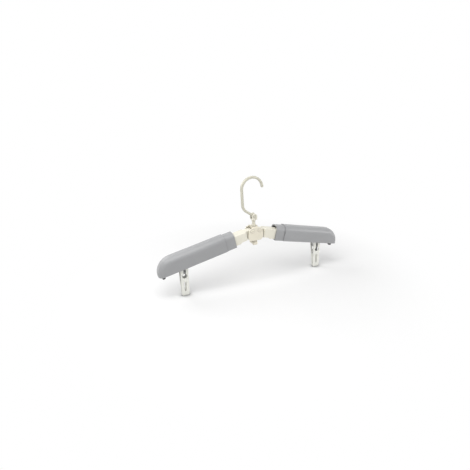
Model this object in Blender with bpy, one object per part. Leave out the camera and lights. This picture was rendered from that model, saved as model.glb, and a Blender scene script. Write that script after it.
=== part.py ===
"""Folding travel hanger: a hook on a hub, two geared arms in sliding sleeves, a swinging peg under each.

Metres, +Z up, X along the open arms, -Y towards the viewer. The origin is where a rail touches the hook's
inside. An arm's own frame has its origin on the fold pin, X along the arm and Z square to it.
"""

import math

import bmesh
import bpy
from mathutils import Matrix, Vector

# Fits: a running gap between pieces, and how far a cutter runs past what it cuts.
gap = 0.0003
overrun = 0.002
edge_round = 0.0008
face_inset = 0.0002

# Fold: pins either side of the hub's middle, and how far each open arm dips.
fold_pin_offset = 0.0070
fold_pin_radius = 0.0022
arm_dip = math.radians(12.6)
closed_gap = 0.0008
gear_teeth = 14
gear_backlash = 0.00036
pressure_angle = math.radians(20)
addendum_share = 0.9
dedendum_share = 1.2
tooth_turns_share = (0.395, 0.823)

# Sleeve: the grey moulded shell, its collar, and the stroke that it slides in over the bar.
sleeve_width = 0.0244
sleeve_height = 0.0275
sleeve_wall = 0.0016
sleeve_floor = 0.0017
sleeve_edge = 0.0093
collar_mouth = 0.0317
collar_seam = 0.0494
collar_inset = 0.0014
collar_wall = 0.0015
sleeve_straight_end = 0.1434
sleeve_stroke = 0.0120

# Bar: the pale flat arm that runs from the hub into the sleeve. It is as thick as the collar's bore allows.
bar_height = 0.0175
bar_lift = 0.0020
bar_reach = 0.0508
bar_shoulder = 0.0086
groove_height = 0.0030
groove_depth = 0.0012
guide_rib_width = 0.0012
guide_rib_setback = 0.0045
guide_rib_spread = 0.0050

# Hub: two moulded halves with the knuckles between them.
hub_plate = 0.0024
hub_proud = 0.0006
hub_top = 0.0165
hub_head_width = 0.0100
hub_head_bottom = 0.0090
hub_lobe_radius = 0.0074
hub_shoulder = 0.0128
hub_shoulder_height = 0.0100
knuckle_radius = 0.0067
tab_plate = 0.0018
tab_clearance = 0.0005
gear_share = 0.5
pin_seat = 0.0012
rivet_offset = 0.0068
rivet_height = 0.0110
rivet_radius = 0.0014
rivet_head_radius = 0.0033
rivet_head_height = 0.0009
rivet_dimple = 0.0004

# Lock tab: slides up between the knuckles from below.
tab_stroke = 0.0030
tongue_width = 0.0080
tongue_height = 0.0031
pad_top = 0.0110
pad_height = 0.0050
pad_inset = 0.0006
tab_plate_width = 0.0072
window_width = 0.0036
guide_post_width = 0.0030
guide_post_height = 0.0016
guide_post_level = 0.0020

# Stem and hook.
stem_radius = 0.0030
stem_neck_radius = 0.0024
stem_flange_radius = 0.0042
stem_flange_height = 0.0020
stem_flange_level = 0.0100
knuckle_rise = 0.0350
fork_radius = 0.0047
fork_cheek = 0.0017
fork_base = 0.0016
fork_flare = 0.0035
hook_pin_radius = 0.0017
hook_pin_head_radius = 0.0027
hook_pin_head_height = 0.0008
wire_width = 0.0043
wire_depth = 0.0058
wire_corner = 0.0017
eye_radius = 0.0041
hook_reach = 0.0652
ring_radius = 0.01885
ring_shift = 0.0032
hook_mouth_angle = math.radians(5)
shank_lean = 0.0018
bend_height = 0.0135
bend_radius = 0.0170

# Peg: an upright front jaw and a leaning rear jaw on an axle at the foot of a swinging hanger.
peg_place = 0.1250
peg_pin_height = 0.0105
peg_pin_radius = 0.0016
peg_pin_seat = 0.0008
boss_height = 0.0009
peg_drop = 0.0608
peg_front = 0.0075
peg_rear_top = 0.0075
peg_foot = 0.0050
peg_width = 0.0132
peg_foot_width = 0.0124
foot_split = 0.0028
jaw_plate = 0.0020
jaw_rib = 0.0012
jaw_rib_width = 0.0010
jaw_rib_end = 0.0095
jaw_below = 0.0280
jaw_above = 0.0250
jaw_top_corner = 0.0018
jaw_foot_corner = 0.0012
jaw_lug = 0.0009
jaw_lug_radius = 0.0026
jaw_lug_spread = 0.0014
jaw_lug_wrap = math.radians(100)
axle_radius = 0.0010
axle_overhang = 0.0006
axle_forward = 0.0023
hanger_thickness = 0.0028
hanger_eye_radius = 0.0040
hanger_arm = 0.0013
hanger_foot_radius = 0.0024
hanger_crotch = 0.0100
foot_bar = 0.0080
lower_slot_wide = 0.0048
lower_slot_narrow = 0.0022
lower_slot_top = 0.0030
lower_slot_corner = 0.0007
keyhole_radius = 0.0043
keyhole_level = 0.0074
keyhole_neck = 0.0043
nose_height = 0.0055
nose_groove = 0.0005
nose_groove_count = 4
spring_wire = 0.0006
spring_clear = 0.00048
spring_turns = 3
spring_points = 9
spring_leg_rise = 0.0014

# Channel under the sleeve, and the catch near its tip, which enters a pocket in the other sleeve.
channel_start = 0.0624
channel_setback = 0.0185
catch_setback = 0.0074
catch_inset = 0.0063
catch_length = 0.0050
catch_width = 0.0060
catch_corner = 0.0014
catch_drop = 0.0045
catch_stem_length = 0.0026
catch_stem_width = 0.0030
catch_flange = 0.0010

# Counts of flat faces round a curve.
turn_steps = 32
small_turn_steps = 20
edge_steps = 6
tip_steps = 14
wire_steps = 56
arc_steps = 10
involute_steps = 4
corner_steps = 4
wire_corner_steps = 2
root_steps = 3
bevel_steps = 2

# Shading: edges sharper than this stay crisp, and a wire keeps only sharper ones.
crease_angle = math.radians(32)
wire_crease_angle = math.radians(60)

# Two lines that turn by less than this at a corner count as straight there.
straight_angle = math.radians(4)

# The hook's open end: how far each ring stands out, and how wide it is, as shares of the half width.
dome_shares = [(0.88, 0.48), (0.6, 0.8), (0.25, 0.97)]

# Sizes that follow from the ones above.
underside = -(fold_pin_offset - closed_gap / 2)
bar_bottom = underside + bar_lift
bar_top = bar_bottom + bar_height
bar_thickness = sleeve_width - 2 * (collar_inset + collar_wall + gap)
hub_half = bar_thickness / 2 + hub_proud
hub_inner = hub_half - hub_plate
tab_front = -(hub_inner - gap)
knuckle_front = tab_front + tab_plate + tab_clearance
knuckle_back = hub_inner - gap
layer_split = knuckle_front + (knuckle_back - knuckle_front) * gear_share
tab_plate_top = hub_head_bottom - tab_stroke - gap
fold_pin_bore = fold_pin_radius + gap
tongue_rest_top = -math.sqrt(knuckle_radius**2 - (fold_pin_offset - tongue_width / 2) ** 2) - gap
notch_half = tongue_width / 2 + gap
notch_top = tongue_rest_top + tab_stroke + gap
relief_height = notch_half - fold_pin_offset
relief_end = collar_mouth - sleeve_stroke + gap
bore_half = bar_thickness / 2 + gap
bore_bottom = bar_bottom - gap
wire_half = wire_depth / 2
ring_inside = ring_radius - wire_width / 2
ring_level = hook_reach - math.sqrt(ring_inside**2 - ring_shift**2)
fold_level = -(hook_reach + knuckle_rise)
peg_pin_level = underside + peg_pin_height
sleeve_tip = sleeve_straight_end + sleeve_height
channel_end = sleeve_tip - channel_setback
catch_pitch = catch_length + 2 * gap
catch_forward = sleeve_width / 2 - catch_inset
axle_drop = peg_drop - jaw_below
spring_radius = axle_radius + gap + spring_wire
spring_pitch = spring_wire + spring_clear
spring_half = (spring_turns * spring_pitch + spring_wire) / 2
hanger_inner = spring_half + gap
hanger_outer = hanger_inner + hanger_arm
rear_lug_start = hanger_outer + gap
front_lug_start = rear_lug_start + jaw_lug + gap

# A jaw's places along Y are measured from the axle.
front_face = axle_forward - peg_front
rear_foot_face = front_face + peg_foot
rear_slope = (peg_rear_top + axle_forward - rear_foot_face) / (jaw_above + jaw_below)
parting_face = front_face + foot_split

palette = {
    "grey_shell": ((0.365, 0.368, 0.375), 0.55),
    "ivory_arm": ((0.83, 0.79, 0.70), 0.42),
    "ivory_hook": ((0.87, 0.85, 0.76), 0.33),
    "white_peg": ((0.86, 0.86, 0.80), 0.45),
    "dark_catch": ((0.10, 0.10, 0.105), 0.60),
    "steel_pin": ((0.62, 0.62, 0.60), 0.30),
}


def clear_scene():
    for item in list(bpy.data.objects):
        bpy.data.objects.remove(item, do_unlink=True)


def piece_material(node, look):
    colour, roughness = palette[look]
    material = bpy.data.materials.new(f"{look}_{node}")
    material.use_nodes = True
    shader = material.node_tree.nodes["Principled BSDF"]
    shader.inputs["Base Color"].default_value = (*colour, 1.0)
    shader.inputs["Roughness"].default_value = roughness
    shader.inputs["Metallic"].default_value = 1.0 if look == "steel_pin" else 0.0
    return material


def frame_at(name, place, turn=0.0, parent=None):
    """An empty that carries a body: its place in its parent, and its turn about Y."""
    empty = bpy.data.objects.new(name, None)
    bpy.context.scene.collection.objects.link(empty)
    empty.location = place
    empty.rotation_euler = (0.0, turn, 0.0)
    empty.parent = parent
    return empty


def mesh_object(name, form):
    """A loose object that holds a bmesh, with its faces turned out."""
    bmesh.ops.recalc_face_normals(form, faces=form.faces)
    mesh = bpy.data.meshes.new(name)
    form.to_mesh(mesh)
    form.free()
    item = bpy.data.objects.new(name, mesh)
    bpy.context.scene.collection.objects.link(item)
    return item


def combine(base, tools, operation):
    """Joins the tools to the base, or cuts them from it, and removes them."""
    for tool in tools:
        step = base.modifiers.new(tool.name, "BOOLEAN")
        step.operation = operation
        step.object = tool
        step.solver = "EXACT"
    shown = base.evaluated_get(bpy.context.evaluated_depsgraph_get())
    mesh = bpy.data.meshes.new_from_object(shown)
    base.modifiers.clear()
    base.data = mesh
    for tool in tools:
        bpy.data.objects.remove(tool, do_unlink=True)
    return base


def joined(base, *tools):
    return combine(base, tools, "UNION")


def cut(base, *tools):
    return combine(base, tools, "DIFFERENCE")


def finish(item, node, look, parent, smooth=crease_angle):
    """Names a finished piece, gives it its material and hands it to the frame that carries it."""
    item.name = node
    item.data.name = node
    item.data.materials.clear()
    item.data.materials.append(piece_material(node, look))
    for face in item.data.polygons:
        face.use_smooth = True
        face.material_index = 0
    item.data.set_sharp_from_angle(angle=smooth)
    item.parent = parent
    return item


def prism(outline, low, high, axis="Y"):
    """An outline pushed along an axis. The outline is (x, z) on Y, (y, z) on X and (x, y) on Z."""
    places = {"X": lambda a, b: (low, a, b), "Y": lambda a, b: (a, low, b), "Z": lambda a, b: (a, b, low)}
    shift = Vector((axis == "X", axis == "Y", axis == "Z")) * (high - low)
    form = bmesh.new()
    face = form.faces.new([form.verts.new(places[axis](a, b)) for a, b in outline])
    moved = bmesh.ops.extrude_face_region(form, geom=[face])
    verts = [v for v in moved["geom"] if isinstance(v, bmesh.types.BMVert)]
    bmesh.ops.translate(form, verts=verts, vec=shift)
    return mesh_object("prism", form)


def rounded_rim(item, axis, level, size):
    """Rounds the edges that lie on one flat face of an item."""
    form = bmesh.new()
    form.from_mesh(item.data)
    rim = [e for e in form.edges if all(abs(getattr(v.co, axis) - level) < face_inset for v in e.verts)]
    bmesh.ops.bevel(form, geom=rim, offset=size, segments=bevel_steps, affect="EDGES", profile=0.5)
    form.to_mesh(item.data)
    form.free()
    return item


def block(low, high, rounding=0.0):
    """A box between two corners, with its edges rounded where a rounding is given."""
    form = bmesh.new()
    bmesh.ops.create_cube(form, size=1.0)
    size = Vector(high) - Vector(low)
    bmesh.ops.scale(form, verts=form.verts, vec=size)
    bmesh.ops.translate(form, verts=form.verts, vec=(Vector(high) + Vector(low)) / 2)
    if rounding:
        edges = list(form.edges)
        bmesh.ops.bevel(form, geom=edges, offset=rounding, segments=bevel_steps, affect="EDGES", profile=0.5)
    return mesh_object("block", form)


def turned(profile, place=(0.0, 0.0, 0.0), axis="Z", steps=turn_steps):
    """A profile of (radius, height) from the foot up, turned about an axis through a place."""
    form = bmesh.new()
    rings = []
    for radius, height in profile:
        if radius == 0:
            rings.append([form.verts.new((0.0, 0.0, height))])
            continue
        angles = [math.tau * i / steps for i in range(steps)]
        rings.append([form.verts.new((radius * math.cos(t), radius * math.sin(t), height)) for t in angles])
    for below, above in zip(rings, rings[1:]):
        for i in range(steps):
            j = (i + 1) % steps
            if len(below) == 1:
                form.faces.new((below[0], above[i], above[j]))
            elif len(above) == 1:
                form.faces.new((below[i], below[j], above[0]))
            else:
                form.faces.new((below[i], below[j], above[j], above[i]))
    for ring in (rings[0], rings[-1]):
        if len(ring) > 1:
            form.faces.new(ring)
    turns = {"X": Matrix.Rotation(math.pi / 2, 4, "Y"), "Y": Matrix.Rotation(-math.pi / 2, 4, "X")}
    if axis in turns:
        bmesh.ops.transform(form, matrix=turns[axis], verts=form.verts)
    bmesh.ops.translate(form, verts=form.verts, vec=place)
    return mesh_object("turned", form)


def rod(radius, low, high, place=(0.0, 0.0), axis="Y", steps=small_turn_steps):
    """A plain round bar. On Y its place is (x, z), on X it is (y, z), on Z it is (x, y)."""
    centres = {"X": (0.0, *place), "Y": (place[0], 0.0, place[1]), "Z": (*place, 0.0)}
    return turned([(radius, low), (radius, high)], centres[axis], axis, steps)


def arc(centre, radius, start, end, steps):
    """Points on an arc, both ends included."""
    angles = [start + (end - start) * i / steps for i in range(steps + 1)]
    return [(centre[0] + radius * math.cos(t), centre[1] + radius * math.sin(t)) for t in angles]


def rounded_outline(corners, radius, steps=corner_steps):
    """A polygon with each corner rounded by an arc. A corner may carry its own radius."""
    points = []
    count = len(corners)
    for i, corner in enumerate(corners):
        here = Vector(corner[:2])
        size = corner[2] if len(corner) > 2 else radius
        to_last = (Vector(corners[i - 1][:2]) - here).normalized()
        to_next = (Vector(corners[(i + 1) % count][:2]) - here).normalized()
        half = to_last.angle(to_next) / 2
        if size <= 0 or math.pi / 2 - half < straight_angle / 2:
            points.append(tuple(here))
            continue
        centre = here + (to_last + to_next).normalized() * size / math.sin(half)
        first = here + to_last * size / math.tan(half) - centre
        last = here + to_next * size / math.tan(half) - centre
        sweep = first.angle_signed(last)
        for k in range(steps + 1):
            turn = Matrix.Rotation(-sweep * k / steps, 2)
            points.append(tuple(centre + turn @ first))
    return points


def mirrored(outline, side):
    return [(side * a, b) for a, b in outline]


def shell_form(start, straight_end, half_width, height, edge, base, side):
    """The sleeve's outer form or its hollow: a D section along the arm that rolls over a round tip."""
    top_edge = arc((half_width - edge, height - edge), edge, 0.0, math.pi / 2, edge_steps)
    section = [(half_width, 0.0), *top_edge]
    section = section + [(-y, d) for y, d in reversed(section)]
    form = bmesh.new()
    pivots = [form.verts.new((side * straight_end, y, base)) for y in (section[0][0], section[-1][0])]

    def ring(along, rise, share):
        last = len(section) - 1
        verts = []
        for k, (y, d) in enumerate(section):
            if share is not None and k in (0, last):
                verts.append(pivots[0 if k == 0 else 1])
                continue
            verts.append(form.verts.new((side * (along + d * rise[0]), y, base + d * rise[1])))
        return verts

    rings = [ring(start, (0.0, 1.0), None)]
    for i in range(tip_steps + 1):
        lean = math.pi / 2 * i / tip_steps
        rings.append(ring(straight_end, (math.sin(lean), math.cos(lean)), i))
    for near, far in zip(rings, rings[1:]):
        for k in range(len(section) - 1):
            corners = [near[k], near[k + 1], far[k + 1], far[k]]
            corners = [v for n, v in enumerate(corners) if v not in corners[:n]]
            form.faces.new(corners)
    form.faces.new(rings[0])
    form.faces.new(rings[-1])
    form.faces.new((rings[0][0], rings[0][-1], pivots[1], pivots[0]))
    return mesh_object("shell_form", form)


def d_outline(half_width, bottom, top, edge, foot_edge=0.0):
    """A section with a flat foot and rounded shoulders, as (y, z)."""
    foot = [(-half_width, bottom, foot_edge), (half_width, bottom, foot_edge)]
    shoulders = [(half_width, top), (-half_width, top)]
    return rounded_outline(foot + shoulders, edge, edge_steps)


def catch_place(side):
    """How far along its arm a catch stands. The right one is further in, so that they pass when folded."""
    return sleeve_tip - catch_setback - (catch_pitch if side > 0 else 0.0)


def catch_cutter(place, length, width, height):
    """A hole up through the sleeve's floor with a running gap round the catch, or round its stem."""
    half_length = length / 2 + gap
    half_width = width / 2 + gap
    return block(
        (place - half_length, -catch_forward - half_width, underside - overrun),
        (place + half_length, -catch_forward + half_width, underside + height),
    )


def make_sleeve(side, name, parent):
    """The grey sleeve: open channel below for the peg, necked collar for the travel cap."""
    half = sleeve_width / 2
    body = shell_form(collar_seam, sleeve_straight_end, half, sleeve_height, sleeve_edge, underside, side)
    collar_half = half - collar_inset
    collar_top = underside + sleeve_height - collar_inset
    collar_edge = sleeve_edge - collar_inset
    collar = prism(
        d_outline(collar_half, underside, collar_top, collar_edge),
        side * collar_mouth,
        side * (collar_seam + overrun),
        "X",
    )
    hollow = shell_form(
        collar_seam + sleeve_wall,
        sleeve_straight_end,
        half - sleeve_wall,
        sleeve_height - sleeve_wall - sleeve_floor,
        sleeve_edge - sleeve_wall,
        underside + sleeve_floor,
        side,
    )
    bore = prism(
        d_outline(bore_half, bore_bottom, collar_top - collar_wall, collar_edge - collar_wall, edge_round),
        side * (collar_mouth - overrun),
        side * (collar_seam + sleeve_wall + overrun),
        "X",
    )
    channel_half = half - sleeve_wall
    channel = block(
        (min(side * channel_start, side * channel_end), -channel_half, underside - overrun),
        (max(side * channel_start, side * channel_end), channel_half, underside + sleeve_floor + overrun),
    )
    pocket = catch_cutter(side * catch_place(-side), catch_length, catch_width, catch_drop + gap)
    catch_hole = catch_cutter(
        side * catch_place(side), catch_stem_length, catch_stem_width, sleeve_floor + overrun
    )
    pin_reach = half - sleeve_wall + peg_pin_seat
    pin_place = (side * peg_place, peg_pin_level)
    pin_bore = rod(peg_pin_radius + gap, -(pin_reach + gap), pin_reach + gap, pin_place)
    sleeve = joined(body, collar)
    sleeve = cut(sleeve, hollow, bore, channel, pocket, catch_hole)
    ribs = []
    for y in (-guide_rib_spread, guide_rib_spread):
        ends = sorted((side * (collar_mouth + guide_rib_setback), side * (collar_seam + sleeve_wall)))
        ribs.append(
            block(
                (ends[0], y - guide_rib_width / 2, bar_top + gap),
                (ends[1], y + guide_rib_width / 2, collar_top - collar_wall / 2),
            )
        )
    nub_place = (side * (collar_seam - groove_height / 2), (bar_bottom + bar_top) / 2)
    nub_inner = bar_thickness / 2 - groove_depth + gap
    for direction in (-1, 1):
        ends = sorted((direction * nub_inner, direction * (bore_half + collar_wall / 2)))
        ribs.append(rod(groove_height / 2 - gap, ends[0], ends[1], nub_place))
        ends = sorted((direction * (half - sleeve_wall - boss_height), direction * (half - sleeve_wall / 2)))
        ribs.append(rod(peg_pin_radius + sleeve_wall, ends[0], ends[1], pin_place))
    sleeve = joined(sleeve, *ribs)
    sleeve = cut(sleeve, pin_bore)
    return finish(sleeve, name, "grey_shell", parent)


def gear_outline(root, tip, first_turn, last_turn, phase):
    """Involute teeth between two angles, and the root circle round the rest."""
    pitch = fold_pin_offset
    base = pitch * math.cos(pressure_angle)
    half_tooth = math.pi / (2 * gear_teeth) - gear_backlash / (2 * pitch)
    flank_at_pitch = math.tan(pressure_angle) - pressure_angle
    start = max(base, root)
    points = []
    step = math.tau / gear_teeth
    for k in range(gear_teeth):
        middle = (phase + k * step) % math.tau
        if not first_turn <= middle <= last_turn:
            points += arc((0.0, 0.0), root, middle - step / 2, middle + step / 4, root_steps)
            continue
        flank = []
        for i in range(involute_steps + 1):
            radius = start + (tip - start) * i / involute_steps
            roll = math.acos(min(1.0, base / radius))
            lean = half_tooth + flank_at_pitch - (math.tan(roll) - roll)
            flank.append((radius, lean))
        root_lean = flank[0][1] + gap / root
        rising = [(root, -root_lean)] + [(r, -a) for r, a in flank]
        falling = [(r, a) for r, a in reversed(flank)] + [(root, root_lean)]
        points += [(r * math.cos(middle + a), r * math.sin(middle + a)) for r, a in rising + falling]
    return points


def make_bar(side, name, parent):
    """The flat arm: a geared knuckle between the hub halves, a shoulder, and the part inside the sleeve."""
    half = bar_thickness / 2
    slope = relief_end + (relief_height - bar_bottom)
    outer = rounded_outline(
        [
            (bar_shoulder, relief_height),
            (relief_end, relief_height),
            (slope, bar_bottom),
            (bar_reach, bar_bottom),
            (bar_reach, bar_top),
            (bar_shoulder, bar_top),
        ],
        edge_round,
    )
    body = prism(mirrored(outer, side), -half, half)
    form = bmesh.new()
    form.from_mesh(body.data)
    long_edges = [e for e in form.edges if abs((e.verts[0].co - e.verts[1].co).normalized().y) < 0.5]
    bmesh.ops.bevel(form, geom=long_edges, offset=edge_round / 2, segments=1, affect="EDGES", profile=0.5)
    form.to_mesh(body.data)
    form.free()
    rivet_x = rivet_offset - fold_pin_offset
    rivet_along = rivet_x * math.cos(arm_dip) - rivet_height * math.sin(arm_dip)
    neck_start = rivet_along + rivet_radius + gap
    neck_foot = fold_pin_radius
    neck = prism(
        mirrored(
            [
                (neck_start, neck_foot),
                (knuckle_radius / 2, neck_foot - gap),
                (knuckle_radius / 2, relief_height),
                (bar_shoulder + overrun, relief_height),
                (bar_shoulder + overrun, bar_top - edge_round),
                (neck_start, bar_top - edge_round),
            ],
            side,
        ),
        knuckle_front,
        knuckle_back,
    )
    module = 2 * fold_pin_offset / gear_teeth
    root = fold_pin_offset - module * dedendum_share
    tip = fold_pin_offset + module * addendum_share
    knuckle = rod(knuckle_radius, knuckle_front, layer_split - gap / 2, steps=turn_steps)
    core = rod(root - edge_round, knuckle_front + face_inset, knuckle_back - face_inset, steps=turn_steps)
    mesh_turn = math.pi + arm_dip
    phase = mesh_turn if side > 0 else mesh_turn + math.pi / gear_teeth
    turns = [share * math.tau + arm_dip for share in tooth_turns_share]
    gear = prism(mirrored(gear_outline(root, tip, *turns, phase), side), layer_split + gap / 2, knuckle_back)
    notch = prism(
        mirrored(
            [
                (-fold_pin_offset - knuckle_radius, notch_top - knuckle_radius),
                (notch_half - fold_pin_offset, notch_top - knuckle_radius),
                (notch_half - fold_pin_offset, notch_top),
                (-fold_pin_offset - knuckle_radius, notch_top),
            ],
            side,
        ),
        knuckle_front - overrun,
        layer_split,
    )
    notch.data.transform(Matrix.Rotation(-side * arm_dip, 4, "Y"))
    second = block(
        (min(side * (-notch_top), side * bar_shoulder), knuckle_front - overrun, -knuckle_radius - overrun),
        (max(side * (-notch_top), side * bar_shoulder), layer_split, relief_height),
    )
    bore = rod(fold_pin_bore, knuckle_front - overrun, knuckle_back + overrun)
    grooves = []
    groove_from = collar_seam - groove_height - sleeve_stroke
    groove_ends = sorted((side * groove_from, side * collar_seam))
    middle = (bar_bottom + bar_top) / 2
    for direction in (-1, 1):
        depth = sorted((direction * (half - groove_depth), direction * (half + overrun)))
        grooves.append(
            block(
                (groove_ends[0], depth[0], middle - groove_height / 2),
                (groove_ends[1], depth[1], middle + groove_height / 2),
            )
        )
    knuckle = cut(joined(knuckle, core), notch, second)
    bar = joined(body, neck, knuckle, gear)
    bar = cut(bar, bore, *grooves)
    return finish(bar, name, "ivory_arm", parent)


def hub_outline():
    """The hub's face: a narrow top, wide shoulders and a round lobe under each fold pin."""
    lobe = arc((fold_pin_offset, 0.0), hub_lobe_radius, -math.pi / 2, 0.0, arc_steps)
    right = [
        *lobe,
        (hub_shoulder, hub_shoulder_height),
        (rivet_offset + rivet_head_radius, rivet_height + rivet_head_radius),
        (hub_head_width / 2, hub_top),
    ]
    return right + [(-x, z) for x, z in reversed(right)]


def make_hub_half(direction, name, parent):
    """One half of the hub. The front half, direction -1, also carries the post that guides the lock tab."""
    faces = sorted((direction * hub_half, direction * hub_inner))
    plate = prism(hub_outline(), faces[0], faces[1])
    rounded_rim(plate, "y", direction * hub_half, edge_round)
    head_faces = sorted((direction * gap / 2, direction * (hub_inner + hub_plate / 2)))
    head = block(
        (-hub_head_width / 2, head_faces[0], hub_head_bottom),
        (hub_head_width / 2, head_faces[1], hub_top),
    )
    pieces = [head]
    if direction < 0:
        post_bottom = guide_post_level - guide_post_height
        pieces.append(
            block(
                (-guide_post_width / 2, -hub_half + hub_plate / 2, post_bottom),
                (guide_post_width / 2, tab_front + tab_plate, guide_post_level),
            )
        )
        boss_radius = fold_pin_offset - tab_plate_width / 2 - gap
        for x in (-fold_pin_offset, fold_pin_offset):
            pieces.append(rod(boss_radius, -hub_half + hub_plate / 2, knuckle_front - gap, (x, 0.0)))
    cuts = [
        turned(
            [
                (stem_flange_radius + gap, stem_flange_level - gap),
                (stem_flange_radius + gap, stem_flange_level + stem_flange_height + gap),
                (stem_neck_radius + gap, stem_flange_level + stem_flange_height + gap),
                (stem_neck_radius + gap, hub_top + overrun),
            ]
        )
    ]
    for x in (-fold_pin_offset, fold_pin_offset):
        seat = sorted((0.0, direction * (hub_inner + pin_seat + gap)))
        cuts.append(rod(fold_pin_bore, seat[0], seat[1], (x, 0.0)))
    for x in (-rivet_offset, rivet_offset):
        ends = sorted((0.0, direction * (hub_half + overrun)))
        cuts.append(rod(rivet_radius + gap, ends[0], ends[1], (x, rivet_height)))
    half = cut(joined(plate, *pieces), *cuts)
    return finish(half, name, "ivory_arm", parent)


def make_fold_pin(side, name, parent):
    reach = hub_inner + pin_seat
    pin = rod(fold_pin_radius, -reach, reach, (side * fold_pin_offset, 0.0))
    return finish(pin, name, "steel_pin", parent)


def make_hub_rivet(side, name, parent):
    """A moulded rivet through both hub halves, with a dimpled head on the front."""
    seat = hub_half + gap
    end = seat + rivet_head_height
    profile = [
        (0.0, -end + rivet_dimple),
        (rivet_radius - edge_round / 2, -end + rivet_dimple),
        (rivet_radius, -end),
        (rivet_head_radius - edge_round, -end),
        (rivet_head_radius, -seat),
        (rivet_radius, -seat),
        (rivet_radius, seat),
        (rivet_head_radius, seat),
        (rivet_head_radius - edge_round, end),
        (0.0, end),
    ]
    rivet = turned(profile, (side * rivet_offset, 0.0, rivet_height), "Y", small_turn_steps)
    return finish(rivet, name, "ivory_arm", parent)


def make_lock_tab(parent):
    """The lock: a plate behind the hub's face, a tongue for the knuckles' notches and a pad below."""
    tongue_back = layer_split - gap
    pad_bottom = -(pad_top + pad_height)
    plate = block(
        (-tab_plate_width / 2, tab_front, -pad_top - edge_round),
        (tab_plate_width / 2, tab_front + tab_plate, tab_plate_top),
    )
    tongue_bottom = tongue_rest_top - tongue_height
    tongue = block(
        (-tongue_width / 2, tab_front + tab_plate / 2, tongue_bottom),
        (tongue_width / 2, tongue_back, tongue_rest_top),
    )
    web = block(
        (face_inset - tab_plate_width / 2, tab_front + tab_plate / 2, -pad_top - edge_round),
        (tab_plate_width / 2 - face_inset, tongue_back - gap, tongue_bottom + gap),
    )
    pad_half = bar_thickness / 2 - pad_inset
    pad = block(
        (-tongue_width / 2, -pad_half, pad_bottom),
        (tongue_width / 2, pad_half, -pad_top),
        edge_round,
    )
    window = block(
        (-window_width / 2, tab_front - overrun, guide_post_level - guide_post_height - tab_stroke - gap),
        (window_width / 2, tab_front + tab_plate + overrun, guide_post_level + gap),
    )
    tab = cut(joined(plate, tongue, web, pad), window)
    return finish(tab, "lock_tab", "ivory_arm", parent)


def make_stem(parent):
    """The swivel stem, from the fold level: a flange caught in the hub, a shank and a fork for the hook."""
    flange_top = stem_flange_level + stem_flange_height
    fork_floor = knuckle_rise - eye_radius - gap
    fork_bottom = fork_floor - fork_base
    flare_bottom = fork_bottom - fork_flare
    half = wire_half + gap + fork_cheek
    shank = turned(
        [
            (stem_flange_radius, stem_flange_level),
            (stem_flange_radius, flange_top),
            (stem_neck_radius, flange_top),
            (stem_neck_radius, hub_top + gap),
            (stem_radius, hub_top + gap),
            (stem_radius, flare_bottom),
            (fork_radius, fork_bottom),
            (fork_radius, fork_floor - fork_base / 4),
        ]
    )
    outline = [(-fork_radius, fork_bottom), (fork_radius, fork_bottom)]
    outline += arc((0.0, knuckle_rise), fork_radius, 0.0, math.pi, arc_steps)
    fork = prism(outline, -half, half)
    slot = block(
        (-fork_radius - overrun, -wire_half - gap, fork_floor),
        (fork_radius + overrun, wire_half + gap, knuckle_rise + fork_radius + overrun),
    )
    bore = rod(hook_pin_radius + gap, -half - overrun, half + overrun, (0.0, knuckle_rise))
    stem = cut(joined(shank, fork), slot, bore)
    return finish(stem, "stem", "ivory_arm", parent)


def hook_path():
    """The hook's middle line in (x, z), from its open end over the top and down to the eye at the origin."""
    ring_centre = (-ring_shift, ring_level)
    over = arc(ring_centre, ring_radius, hook_mouth_angle, math.pi, wire_steps // 2)
    shank_foot = Vector((ring_centre[0] - ring_radius + shank_lean, bend_height))
    shank_top = Vector(over[-1])
    corners = rounded_outline(
        [(*shank_top, 0.0), (*shank_foot, bend_radius), (0.0, 0.0, 0.0)],
        bend_radius,
        arc_steps,
    )
    return over + corners[1:]


def make_hook(parent):
    """The hook: a rounded rectangle swept along its line, with a domed end and an eye."""
    path = [Vector(p) for p in hook_path()]
    half_w = wire_width / 2
    outline = rounded_outline(
        [(-half_w, -wire_half), (half_w, -wire_half), (half_w, wire_half), (-half_w, wire_half)],
        wire_corner,
        wire_corner_steps,
    )
    form = bmesh.new()
    rings = []
    start_way = (path[1] - path[0]).normalized()
    stations = [(path[0] - start_way * half_w * out, start_way, size) for out, size in dome_shares]
    for i, here in enumerate(path):
        way = (path[min(i + 1, len(path) - 1)] - path[max(i - 1, 0)]).normalized()
        stations.append((here, way, 1.0))
    for here, way, size in stations:
        across = Vector((-way.y, way.x))
        ring = []
        for w, y in outline:
            spot = here + across * w * size
            ring.append(form.verts.new((spot.x, y * size, spot.y)))
        rings.append(ring)
    count = len(outline)
    for near, far in zip(rings, rings[1:]):
        for k in range(count):
            form.faces.new((near[k], near[(k + 1) % count], far[(k + 1) % count], far[k]))
    form.faces.new(rings[0])
    form.faces.new(rings[-1])
    wire = mesh_object("wire", form)
    eye = rod(eye_radius, -wire_half, wire_half, steps=turn_steps)
    bore = rod(hook_pin_radius + gap, -wire_half - overrun, wire_half + overrun)
    hook = cut(joined(wire, eye), bore)
    return finish(hook, "hook", "ivory_hook", parent)


def make_hook_pin(parent):
    """The pin through the fork, with a head on each side. It turns with the stem."""
    seat = wire_half + gap + fork_cheek + gap
    end = seat + hook_pin_head_height
    pin = turned(
        [
            (hook_pin_head_radius - edge_round / 2, -end),
            (hook_pin_head_radius, -seat),
            (hook_pin_radius, -seat),
            (hook_pin_radius, seat),
            (hook_pin_head_radius, seat),
            (hook_pin_head_radius - edge_round / 2, end),
        ],
        (0.0, 0.0, knuckle_rise),
        "Y",
        small_turn_steps,
    )
    return finish(pin, "hook_pin", "ivory_hook", parent)


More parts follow.
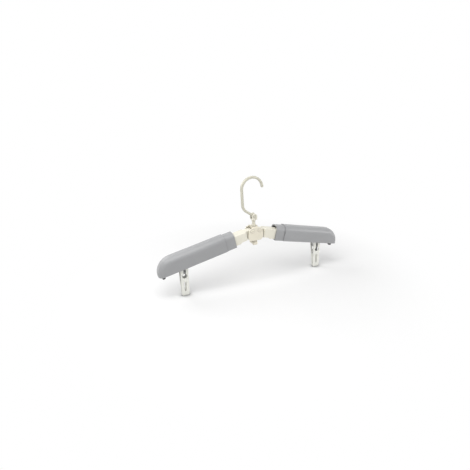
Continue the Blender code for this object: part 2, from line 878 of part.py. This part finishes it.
def make_catch(side, name, parent):
    """The dark catch near the tip: a foot below the floor and a stem with a head above it."""
    middle = -catch_forward
    place = side * catch_place(side)
    foot = prism(
        rounded_outline(
            [
                (place - catch_length / 2, middle - catch_width / 2),
                (place + catch_length / 2, middle - catch_width / 2),
                (place + catch_length / 2, middle + catch_width / 2),
                (place - catch_length / 2, middle + catch_width / 2),
            ],
            catch_corner,
        ),
        underside - catch_drop,
        underside - gap,
        "Z",
    )
    rounded_rim(foot, "z", underside - catch_drop, edge_round)
    head_bottom = underside + sleeve_floor + gap
    half_length = catch_stem_length / 2
    half_width = catch_stem_width / 2
    stem = block(
        (place - half_length, middle - half_width, underside - catch_drop / 2),
        (place + half_length, middle + half_width, head_bottom + catch_flange / 2),
    )
    lip = catch_flange / 2
    head = block(
        (place - half_length - lip, middle - half_width - lip, head_bottom),
        (place + half_length + lip, middle + half_width + lip, head_bottom + catch_flange),
    )
    return finish(joined(foot, stem, head), name, "dark_catch", parent)


def make_peg_hanger(name, parent):
    """The swinging fork that carries the jaws: an eye on the swing pin and two legs down to the axle."""
    crotch = hanger_crotch - axle_drop
    right = [(hanger_outer, 0.0), (hanger_outer, -axle_drop), (hanger_inner, -axle_drop)]
    arch = arc((0.0, crotch - hanger_inner), hanger_inner, 0.0, math.pi, arc_steps)
    left = [(-x, z) for x, z in reversed(right)]
    half = hanger_thickness / 2
    fork = prism([*right, *arch, *left], -axle_forward - half, -axle_forward + half)
    barrel = sleeve_width / 2 - sleeve_wall - boss_height - gap
    eye = rod(hanger_eye_radius, -barrel, barrel, steps=turn_steps)
    axle_place = (-axle_forward, -axle_drop)
    feet = []
    for sign in (-1, 1):
        ends = sorted((sign * (hanger_inner + face_inset), sign * (hanger_outer - face_inset)))
        feet.append(rod(hanger_foot_radius, ends[0], ends[1], axle_place, "X"))
    pin_bore = rod(peg_pin_radius + gap, -barrel - overrun, barrel + overrun)
    reach = hanger_outer + overrun
    axle_bore = rod(axle_radius + gap, -reach, reach, axle_place, "X")
    hanger = cut(joined(fork, eye, *feet), pin_bore, axle_bore)
    return finish(hanger, name, "grey_shell", parent)


def jaw_face(direction, height, depth=0.0):
    """Where a jaw's outer face, or a layer at a depth behind it, lies along Y at a height above the axle."""
    if direction < 0:
        return front_face + depth
    return rear_foot_face + rear_slope * (height + jaw_below) - depth


def jaw_layer(direction, low, high, outer, inner, half_width):
    """A slice of a jaw between two heights and two depths behind its outer face."""
    outline = [
        (jaw_face(direction, low, outer), low),
        (jaw_face(direction, high, outer), high),
        (jaw_face(direction, high, inner), high),
        (jaw_face(direction, low, inner), low),
    ]
    return prism(outline, -half_width, half_width, "X")


def make_front_ribs():
    """The ribs down the edges of the front jaw's back. The rear jaw has none, so that the lugs can turn."""
    low = jaw_rib_end - jaw_below
    high = jaw_above - jaw_top_corner
    half = peg_width / 2
    depth = jaw_plate + jaw_rib
    ribs = jaw_layer(-1, low, high, jaw_plate / 2, depth, half + gap)
    between = jaw_layer(-1, low - overrun, high + overrun, 0.0, depth + overrun, half - jaw_rib_width)
    return cut(ribs, between)


def make_jaw_plate(direction):
    """A jaw's plate with its thick foot, made a little over size and trimmed to the tapered face."""
    half = peg_width / 2
    plate = jaw_layer(direction, -jaw_below - overrun, jaw_above + overrun, 0.0, jaw_plate, half + overrun)
    middle = jaw_face(direction, -jaw_below, jaw_plate / 2)
    nose_faces = sorted((middle, parting_face + direction * gap / 2))
    nose = block(
        (-half - gap, nose_faces[0], -jaw_below - gap),
        (half + gap, nose_faces[1], nose_height - jaw_below),
    )
    backing = [nose, make_front_ribs()] if direction < 0 else [nose]
    trim = prism(
        rounded_outline(
            [
                (-peg_foot_width / 2, -jaw_below, jaw_foot_corner),
                (peg_foot_width / 2, -jaw_below, jaw_foot_corner),
                (peg_width / 2, jaw_above, jaw_top_corner),
                (-peg_width / 2, jaw_above, jaw_top_corner),
            ],
            jaw_top_corner,
        ),
        front_face - overrun,
        jaw_face(1, jaw_above) + overrun,
    )
    return combine(joined(plate, *backing), [trim], "INTERSECT")


def make_jaw(direction, name, parent):
    """One jaw, about the axle: a slotted plate, two lugs and a ribbed nose. Direction -1 is the front."""
    lug_start = front_lug_start if direction < 0 else rear_lug_start
    lug_half = jaw_lug_radius + jaw_lug_spread
    far_side = arc((0.0, 0.0), jaw_lug_radius, jaw_lug_wrap, -jaw_lug_wrap, arc_steps)
    lug_outline = [
        (jaw_face(direction, lug_half, jaw_plate / 2), lug_half),
        *[(-direction * y, z) for y, z in far_side],
        (jaw_face(direction, -lug_half, jaw_plate / 2), -lug_half),
    ]
    lugs = []
    for sign in (-1, 1):
        ends = sorted((sign * lug_start, sign * (lug_start + jaw_lug)))
        lugs.append(prism(lug_outline, ends[0], ends[1], "X"))
    jaw = joined(make_jaw_plate(direction), *lugs)
    faces = sorted((parting_face, jaw_face(direction, jaw_above) + direction * overrun))
    keyhole = rod(keyhole_radius, faces[0], faces[1], (0.0, keyhole_level), steps=turn_steps)
    neck = block(
        (-keyhole_neck / 2, faces[0], keyhole_level),
        (keyhole_neck / 2, faces[1], jaw_above + overrun),
    )
    slot_foot = foot_bar - jaw_below
    slot = prism(
        rounded_outline(
            [
                (-lower_slot_narrow / 2, slot_foot),
                (lower_slot_narrow / 2, slot_foot),
                (lower_slot_wide / 2, -lower_slot_top),
                (-lower_slot_wide / 2, -lower_slot_top),
            ],
            lower_slot_corner,
        ),
        faces[0],
        faces[1],
    )
    nose_face = parting_face + direction * gap / 2
    reach = peg_width / 2 + overrun
    grooves = []
    for k in range(nose_groove_count):
        level = nose_height * (k + 0.5) / nose_groove_count - jaw_below
        tip = nose_face + direction * nose_groove
        mouth = nose_face - direction * nose_groove
        groove = [(tip, level), (mouth, level + nose_groove * 2), (mouth, level - nose_groove * 2)]
        grooves.append(prism(groove, -reach, reach, "X"))
    bore = rod(axle_radius + gap, -reach, reach, axis="X")
    jaw = cut(jaw, keyhole, neck, slot, bore, *grooves)
    return finish(jaw, name, "white_peg", parent)


def make_axle(name, parent):
    reach = front_lug_start + jaw_lug + axle_overhang
    pin = rod(axle_radius, -reach, reach, axis="X")
    return finish(pin, name, "steel_pin", parent)


def spring_leg(direction):
    """How far a spring leg's end stands from the axle, and the angle at which the leg leaves the coil."""
    reach = abs(jaw_face(direction, spring_leg_rise, jaw_plate)) - gap - spring_wire / 2
    toward = math.atan2(spring_leg_rise, reach)
    return reach, toward - math.acos(spring_radius / math.hypot(reach, spring_leg_rise))


def spring_path():
    """The peg spring's middle line: turns round the axle, and a leg up to each jaw's inner face."""
    half = (spring_turns * spring_pitch) / 2
    count = spring_turns * spring_points
    rear_reach, start = spring_leg(1)
    front_reach, end = spring_leg(-1)
    sweep = math.tau * spring_turns + math.pi - start - end
    coil = []
    for i in range(count + 1):
        share = i / count
        turn = start + share * sweep
        along = half * (2 * share - 1)
        coil.append(Vector((along, spring_radius * math.cos(turn), spring_radius * math.sin(turn))))
    first = Vector((-half, rear_reach, spring_leg_rise))
    last = Vector((half, -front_reach, spring_leg_rise))
    return [first, *coil, last]


def least_gap(points, reach):
    """The least clear distance between turns of a tube, measured between its points."""
    least = math.inf
    for i, a in enumerate(points):
        for b in points[i + reach :]:
            least = min(least, (a - b).length)
    return least - spring_wire


def make_jaw_spring(name, parent):
    points = spring_path()
    curve = bpy.data.curves.new("coil", "CURVE")
    curve.dimensions = "3D"
    curve.bevel_depth = spring_wire / 2
    curve.bevel_resolution = 1
    curve.use_fill_caps = True
    line = curve.splines.new("POLY")
    line.points.add(len(points) - 1)
    for spot, place in zip(line.points, points):
        spot.co = (*place, 1.0)
    holder = bpy.data.objects.new("coil", curve)
    bpy.context.scene.collection.objects.link(holder)
    mesh = bpy.data.meshes.new_from_object(holder.evaluated_get(bpy.context.evaluated_depsgraph_get()))
    bpy.data.objects.remove(holder, do_unlink=True)
    item = bpy.data.objects.new("coil", mesh)
    bpy.context.scene.collection.objects.link(item)
    print(f"{name}: least gap between turns {least_gap(points, spring_points // 2):.6f} m")
    return finish(item, name, "steel_pin", parent, wire_crease_angle)


def make_peg_pin(side, name, parent):
    reach = sleeve_width / 2 - sleeve_wall + peg_pin_seat
    pin = rod(peg_pin_radius, -reach, reach, (side * peg_place, peg_pin_level))
    return finish(pin, name, "steel_pin", parent)


def make_arm(side, word, hub_frame):
    """One arm with its sleeve, catch and peg. Side is 1 on the right."""
    fold = frame_at(f"fold_axis_{word}", (side * fold_pin_offset, 0.0, 0.0), side * arm_dip, hub_frame)
    make_bar(side, f"bar_{word}", fold)
    slide = frame_at(f"slide_axis_{word}", (0.0, 0.0, 0.0), 0.0, fold)
    make_sleeve(side, f"sleeve_{word}", slide)
    make_catch(side, f"catch_{word}", slide)
    make_peg_pin(side, f"peg_pin_{word}", slide)
    swing = frame_at(f"peg_axis_{word}", (side * peg_place, 0.0, peg_pin_level), -side * arm_dip, slide)
    make_peg_hanger(f"peg_hanger_{word}", swing)
    jaws = frame_at(f"jaw_axis_{word}", (0.0, -axle_forward, -axle_drop), 0.0, swing)
    make_axle(f"jaw_axle_{word}", jaws)
    make_jaw_spring(f"jaw_spring_{word}", jaws)
    make_jaw(-1, f"front_jaw_{word}", jaws)
    make_jaw(1, f"rear_jaw_{word}", jaws)


def main():
    clear_scene()
    hub_frame = frame_at("hub_frame", (0.0, 0.0, fold_level))
    make_hub_half(-1, "hub_front", hub_frame)
    make_hub_half(1, "hub_back", hub_frame)
    make_lock_tab(frame_at("lock_axis", (0.0, 0.0, 0.0), 0.0, hub_frame))
    swivel = frame_at("swivel_axis", (0.0, 0.0, 0.0), 0.0, hub_frame)
    make_stem(swivel)
    make_hook_pin(swivel)
    hook_axis = frame_at("hook_axis", (0.0, 0.0, knuckle_rise), 0.0, swivel)
    make_hook(hook_axis)
    for side, word in ((-1, "left"), (1, "right")):
        make_fold_pin(side, f"fold_pin_{word}", hub_frame)
        make_hub_rivet(side, f"hub_rivet_{word}", hub_frame)
        make_arm(side, word, hub_frame)
    bpy.context.view_layer.update()


main()
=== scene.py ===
"""Dresses the folding travel hanger: moulded plastics, soft edges, a pale floor and soft studio light."""

import math

import bmesh
import bpy
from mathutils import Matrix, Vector


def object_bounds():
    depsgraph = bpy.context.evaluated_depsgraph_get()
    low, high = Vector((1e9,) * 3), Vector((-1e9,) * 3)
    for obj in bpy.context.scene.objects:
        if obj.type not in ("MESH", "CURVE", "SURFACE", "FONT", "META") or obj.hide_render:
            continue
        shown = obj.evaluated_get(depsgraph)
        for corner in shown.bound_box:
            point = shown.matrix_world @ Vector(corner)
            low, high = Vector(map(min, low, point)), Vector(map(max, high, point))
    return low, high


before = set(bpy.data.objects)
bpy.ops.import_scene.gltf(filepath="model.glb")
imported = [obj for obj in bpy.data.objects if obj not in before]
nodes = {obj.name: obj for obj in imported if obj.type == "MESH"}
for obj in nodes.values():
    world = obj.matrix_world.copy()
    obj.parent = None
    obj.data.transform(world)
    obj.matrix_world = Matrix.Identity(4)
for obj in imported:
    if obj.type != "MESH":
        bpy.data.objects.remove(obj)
cad_box = [list(corner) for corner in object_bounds()]
scene = bpy.context.scene
floor_level = cad_box[0][2]
object_middle = (0.0, 0.0, (cad_box[0][2] + cad_box[1][2]) / 2)

# Camera: at the photograph's view. Pixels are those of the photograph's 470 px frame.
frame_px = 470.0
sensor_width = 36.0
camera_azimuth = -26.0
camera_elevation = 22.2
camera_distance = 0.75
camera_focal_px = 426.7
camera_centre_px = (253.58, 241.27)
camera_aim = (0.0, 0.0, -0.1124)

# Lamps: name, place and disc width in metres, power in watts. All point at the object's middle.
lamps = (
    ("key", (-0.50, -0.40, 1.0), 1.5, 16.8),
    ("fill", (0.70, -0.45, 0.0), 0.6, 2.1),
    ("back", (-0.50, 0.80, 0.60), 0.9, 4.0),
)

# Sky: even and white to look at, while it lights the object with this strength.
sky_light = 0.27
white = (1.0, 1.0, 1.0, 1.0)

# Floor: matt white near the object, with painted contact shadow where something touches it, plain white
# further away.
floor_half = 6.0
floor_gap = 0.0003
floor_albedo = 0.80
floor_roughness = 0.8
floor_specular = 0.1
floor_lift = 0.10
fade_start = 0.18
fade_end = 0.34
contact_shadow_reach = 0.012
contact_shadow_samples = 16
contact_shadow_albedo = 0.25
contact_shadow_span = (0.45, 0.95)
lift_span = (0.4, 0.95)

# Noises: scale, detail and roughness of each.
cloud_noise = (32.0, 3.0, 0.55)
speck_noise = (900.0, 2.0, 0.6)
streak_noise = (1.0, 4.0, 0.6)
rub_noise = (70.0, 5.0, 0.7)
wave_noise = (45.0, 1.0, 0.5)
line_noise = (1.0, 3.0, 0.5)
grain_detail = 2.0
noise_span = (0.3, 0.7)
speck_span = (0.35, 0.65)
rub_span = (0.55, 0.75)

# Plastics: lengths are in metres, and streaks run along X.
plastic_ior = 1.48
coat_roughness = 0.25
speck_depth = 0.015
streak_stretch = (18.0, 160.0, 160.0)
streak_smoother = 0.04
streak_rougher = 0.05
rub_depth = 0.10
grain_strength = 0.6
wave_height = 0.00025
wave_strength = 0.35
# Painted shade: an ambient occlusion darkens the plastics' colour in corners, gaps and crevices.
crevice_shade_reach = 0.003
crevice_shade_samples = 8
crevice_shade_span = (0.3, 0.95)

# Steel: drawing lines lie across Z.
steel_colour = (0.60, 0.60, 0.585)
steel_tones = (0.88, 1.06)
steel_gloss = (0.24, 0.42)
line_stretch = (300.0, 300.0, 2500.0)
line_height = 0.00002
line_strength = 0.3

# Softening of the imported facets.
weld_reach = 0.000004
sharp_angle = math.radians(38)
edge_steps = 2
flat_face_weight = 90


def shader_of(material):
    return material.node_tree.nodes["Principled BSDF"]


def new_material(name):
    material = bpy.data.materials.new(name)
    material.use_nodes = True
    return material


def add(material, kind, **values):
    """A node with its plain attributes and its unlinked inputs set."""
    node = material.node_tree.nodes.new(kind)
    for key, value in values.items():
        if key in node.inputs:
            node.inputs[key].default_value = value
        else:
            setattr(node, key, value)
    return node


def link(material, source, output, target, socket):
    material.node_tree.links.new(source.outputs[output], target.inputs[socket])


def noise(material, place, output, scale, detail, roughness=0.5):
    """A noise laid out in the given coordinates."""
    node = add(material, "ShaderNodeTexNoise", Scale=scale, Detail=detail, Roughness=roughness)
    link(material, place, output, node, "Vector")
    return node


def band(material, source, output, span, result):
    """Maps a value between two limits to a chosen range."""
    node = add(material, "ShaderNodeMapRange")
    node.clamp = True
    for name, value in zip(("From Min", "From Max", "To Min", "To Max"), span + result):
        node.inputs[name].default_value = value
    link(material, source, output, node, "Value")
    return node


def combine(material, operation, first, first_output, second, second_output):
    """The product, difference or larger one of two values."""
    node = add(material, "ShaderNodeMath", operation=operation)
    link(material, first, first_output, node, 0)
    link(material, second, second_output, node, 1)
    return node


def stretched(material, place, scale):
    """Coordinates of the object, scaled differently along each axis."""
    node = add(material, "ShaderNodeMapping")
    node.inputs["Scale"].default_value = scale
    link(material, place, "Object", node, "Vector")
    return node


def relief(material, source, height, strength):
    """A bump from a noise."""
    node = add(material, "ShaderNodeBump", Strength=strength, Distance=height)
    link(material, source, "Fac", node, "Height")
    return node


def set_tinted(material, colour, source, output):
    """The base colour, made brighter or darker by a value."""
    tint = add(material, "ShaderNodeVectorMath", operation="SCALE")
    tint.inputs[0].default_value = colour
    link(material, source, output, tint, "Scale")
    link(material, tint, "Vector", shader_of(material), "Base Color")


def set_plastic_tone(material, place, colour, cloud, crevice_shade):
    """A cloudy, finely specked colour, with painted shade that darkens it in the corners."""
    clouds = noise(material, place, "Object", *cloud_noise)
    cloud_range = band(material, clouds, "Fac", noise_span, (1.0 - cloud, 1.0 + cloud))
    specks = noise(material, place, "Object", *speck_noise)
    speck_range = band(material, specks, "Fac", speck_span, (1.0 - speck_depth, 1.0 + speck_depth))
    uneven = combine(material, "MULTIPLY", cloud_range, "Result", speck_range, "Result")
    crevice_shade_ao = add(material, "ShaderNodeAmbientOcclusion", samples=crevice_shade_samples, Distance=crevice_shade_reach)
    crevice_shade_range = band(material, crevice_shade_ao, "AO", crevice_shade_span, (1.0 - crevice_shade, 1.0))
    tone_with_crevice_shade = combine(material, "MULTIPLY", uneven, "Value", crevice_shade_range, "Result")
    set_tinted(material, colour, tone_with_crevice_shade, "Value")


def set_plastic_gloss(material, place, roughness):
    """Flow streaks in the gloss, and faint marks where it is rubbed smoother."""
    stretch = stretched(material, place, streak_stretch)
    streaks = noise(material, stretch, "Vector", *streak_noise)
    rubs = noise(material, place, "Object", *rub_noise)
    rub_range = band(material, rubs, "Fac", rub_span, (0.0, rub_depth))
    limits = (roughness - streak_smoother, roughness + streak_rougher)
    streak_range = band(material, streaks, "Fac", noise_span, limits)
    less = combine(material, "SUBTRACT", streak_range, "Result", rub_range, "Result")
    link(material, less, "Value", shader_of(material), "Roughness")


def set_plastic_relief(material, place, grain, grain_scale):
    """A fine grain over slow, shallow waves."""
    fine = noise(material, place, "Object", grain_scale, grain_detail)
    grain_bump = relief(material, fine, grain, grain_strength)
    waves = noise(material, place, "Object", *wave_noise)
    wave_bump = relief(material, waves, wave_height, wave_strength)
    link(material, wave_bump, "Normal", grain_bump, "Normal")
    link(material, grain_bump, "Normal", shader_of(material), "Normal")


def moulded(name, colour, roughness, grain=0.00003, grain_scale=2600.0, cloud=0.02, coat=0.0, crevice_shade=0.45):
    """A moulded plastic. Grain is a height in metres; cloud is a share of the tone, and so is the painted
    shade that darkens the corners.
    """
    material = new_material(name)
    shader = shader_of(material)
    shader.inputs["IOR"].default_value = plastic_ior
    shader.inputs["Coat Weight"].default_value = coat
    shader.inputs["Coat Roughness"].default_value = coat_roughness
    place = add(material, "ShaderNodeTexCoord")
    set_plastic_tone(material, place, colour, cloud, crevice_shade)
    set_plastic_gloss(material, place, roughness)
    set_plastic_relief(material, place, grain, grain_scale)
    return material


def drawn_steel(name):
    """Plain steel with drawing lines and a slightly uneven gloss."""
    material = new_material(name)
    shader = shader_of(material)
    shader.inputs["Metallic"].default_value = 1.0
    place = add(material, "ShaderNodeTexCoord")
    stretch = stretched(material, place, line_stretch)
    lines = noise(material, stretch, "Vector", *line_noise)
    tone = band(material, lines, "Fac", noise_span, steel_tones)
    set_tinted(material, steel_colour, tone, "Result")
    gloss = band(material, lines, "Fac", noise_span, steel_gloss)
    link(material, gloss, "Result", shader, "Roughness")
    bump = relief(material, lines, line_height, line_strength)
    link(material, bump, "Normal", shader, "Normal")
    return material


grey = moulded(
    "grey_shell",
    (0.330, 0.333, 0.340),
    0.50,
    grain=0.00006,
    grain_scale=2200.0,
    cloud=0.03,
    coat=0.5,
)
ivory = moulded("ivory_arm", (0.82, 0.79, 0.68), 0.42)
# The hub gets stronger painted shade in its corners and around its rivets.
hub_ivory = moulded("ivory_hub", (0.83, 0.78, 0.65), 0.42, crevice_shade=0.75)
# Painted shade: the hook's ivory is set darker than the arms' ivory, so that the hook stands out against
# the white.
shaded_hook_ivory = moulded("ivory_hook", (0.62, 0.60, 0.50), 0.40, grain=0.000006, crevice_shade=0.0)
peg_white = moulded("white_peg", (0.86, 0.86, 0.80), 0.44)
catch_grey = moulded("dark_catch", (0.095, 0.095, 0.10), 0.60, cloud=0.06)
steel = drawn_steel("drawn_steel")

# The start of a node's name, with its material and the width of its rolled edges in metres.
# The longest start that fits a node is the one that counts.
finishes = {
    "sleeve": (grey, 0.00025),
    "catch": (catch_grey, 0.0),
    "bar": (ivory, 0.0002),
    "hub": (hub_ivory, 0.00012),
    "lock": (hub_ivory, 0.0002),
    "stem": (ivory, 0.0002),
    "hook_pin": (shaded_hook_ivory, 0.0),
    "hook": (shaded_hook_ivory, 0.0),
    "fold_pin": (steel, 0.0),
    "peg_pin": (steel, 0.0),
    "jaw_axle": (steel, 0.0),
    "jaw_spring": (steel, 0.0),
    "peg_hanger": (grey, 0.00015),
    "front_jaw": (peg_white, 0.0002),
    "rear_jaw": (peg_white, 0.0002),
}


def finish_of(node):
    matches = [key for key in finishes if node.startswith(key)]
    return finishes[max(matches, key=len)]


def roll_edges(item, width):
    """Rounds the sharp edges a little and keeps the flat faces evenly shaded."""
    bevel = item.modifiers.new("edge", "BEVEL")
    bevel.width = width
    bevel.segments = edge_steps
    bevel.limit_method = "ANGLE"
    bevel.angle_limit = sharp_angle
    bevel.use_clamp_overlap = True
    bevel.harden_normals = True
    even = item.modifiers.new("even", "WEIGHTED_NORMAL")
    even.mode = "FACE_AREA"
    even.weight = flat_face_weight
    even.keep_sharp = True


def split_edges(item):
    """Keeps the sharp edges of a piece too fine to be rolled."""
    split = item.modifiers.new("split", "EDGE_SPLIT")
    split.split_angle = sharp_angle


def soften(item, width):
    """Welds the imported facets, shades them smooth and rolls or splits the sharp edges."""
    weld = item.modifiers.new("weld", "WELD")
    weld.merge_threshold = weld_reach
    for face in item.data.polygons:
        face.use_smooth = True
    if width:
        roll_edges(item, width)
    else:
        split_edges(item)


def dress_pieces():
    for name, item in nodes.items():
        look, width = finish_of(name)
        item.data.materials.clear()
        item.data.materials.append(look)
        soften(item, width)


def seen_plainly(material):
    """1 where a camera, glossy or transmission ray meets the surface, else 0."""
    path = add(material, "ShaderNodeLightPath")
    either = combine(material, "MAXIMUM", path, "Is Camera Ray", path, "Is Glossy Ray")
    return combine(material, "MAXIMUM", either, "Value", path, "Is Transmission Ray")


def plain_glow(material):
    return add(material, "ShaderNodeEmission", Strength=1.0, Color=white)


def floor_paint():
    """Matt white paint that keeps the shadows near the object, adds painted contact shadow where something
    touches it, and fades to plain white away from it.
    """
    material = new_material("floor_paint")
    shader = shader_of(material)
    shader.inputs["Roughness"].default_value = floor_roughness
    shader.inputs["Specular IOR Level"].default_value = floor_specular
    seen = seen_plainly(material)
    # Painted contact shadow: an ambient occlusion darkens the floor's colour and takes away its lift where
    # something touches it.
    contact_shadow_ao = add(material, "ShaderNodeAmbientOcclusion", samples=contact_shadow_samples, Distance=contact_shadow_reach)
    painted_contact_shadow = band(material, contact_shadow_ao, "AO", contact_shadow_span, (contact_shadow_albedo, floor_albedo))
    link(material, painted_contact_shadow, "Result", shader, "Base Color")
    clear = band(material, contact_shadow_ao, "AO", lift_span, (0.0, floor_lift))
    lift = combine(material, "MULTIPLY", clear, "Result", seen, "Value")
    near_glow = plain_glow(material)
    link(material, lift, "Value", near_glow, "Strength")
    near = add(material, "ShaderNodeAddShader")
    link(material, shader, "BSDF", near, 0)
    link(material, near_glow, "Emission", near, 1)

    place = add(material, "ShaderNodeTexCoord")
    away = add(material, "ShaderNodeVectorMath", operation="LENGTH")
    link(material, place, "Object", away, 0)
    fade = band(material, away, "Value", (fade_start, fade_end), (0.0, 1.0))
    fade.interpolation_type = "SMOOTHSTEP"
    share = combine(material, "MULTIPLY", fade, "Result", seen, "Value")
    blend = add(material, "ShaderNodeMixShader")
    link(material, share, "Value", blend, 0)
    link(material, near, "Shader", blend, 1)
    link(material, plain_glow(material), "Emission", blend, 2)
    link(material, blend, "Shader", material.node_tree.nodes["Material Output"], "Surface")
    return material


def make_floor():
    form = bmesh.new()
    bmesh.ops.create_grid(form, x_segments=2, y_segments=2, size=floor_half)
    mesh = bpy.data.meshes.new("floor")
    form.to_mesh(mesh)
    form.free()
    floor = bpy.data.objects.new("floor", mesh)
    scene.collection.objects.link(floor)
    floor.location = (0.0, 0.0, floor_level - floor_gap)
    mesh.materials.append(floor_paint())


def make_world():
    """An even pale sky, which the camera and the gloss see as white."""
    world = bpy.data.worlds.new("studio")
    world.use_nodes = True
    scene.world = world
    sky = world.node_tree.nodes["Background"]
    seen = band(world, seen_plainly(world), "Value", (0.0, 1.0), (sky_light, 1.0))
    link(world, seen, "Result", sky, "Strength")
    sky.inputs["Color"].default_value = white


def make_lamp(name, place, size, power):
    data = bpy.data.lights.new(name, "AREA")
    data.shape = "DISK"
    data.size = size
    data.energy = power
    lamp = bpy.data.objects.new(name, data)
    scene.collection.objects.link(lamp)
    lamp.location = place
    lamp.rotation_euler = (Vector(object_middle) - Vector(place)).to_track_quat("-Z", "Y").to_euler()


def make_camera():
    """A camera at the photograph's view. Azimuth 0 looks along +Y."""
    data = bpy.data.cameras.new("camera")
    data.sensor_width = sensor_width
    data.lens = camera_focal_px / frame_px * sensor_width
    data.shift_x = (frame_px / 2 - camera_centre_px[0]) / frame_px
    data.shift_y = (camera_centre_px[1] - frame_px / 2) / frame_px
    camera = bpy.data.objects.new("camera", data)
    scene.collection.objects.link(camera)
    a = math.radians(camera_azimuth)
    e = math.radians(camera_elevation)
    toward = Vector((math.sin(a) * math.cos(e), -math.cos(a) * math.cos(e), math.sin(e)))
    camera.location = Vector(camera_aim) + toward * camera_distance
    camera.rotation_euler = (-toward).to_track_quat("-Z", "Y").to_euler()
    scene.camera = camera


dress_pieces()
make_floor()
make_world()
for name, place, size, power in lamps:
    make_lamp(name, place, size, power)
make_camera()
scene.view_settings.view_transform = "Standard"
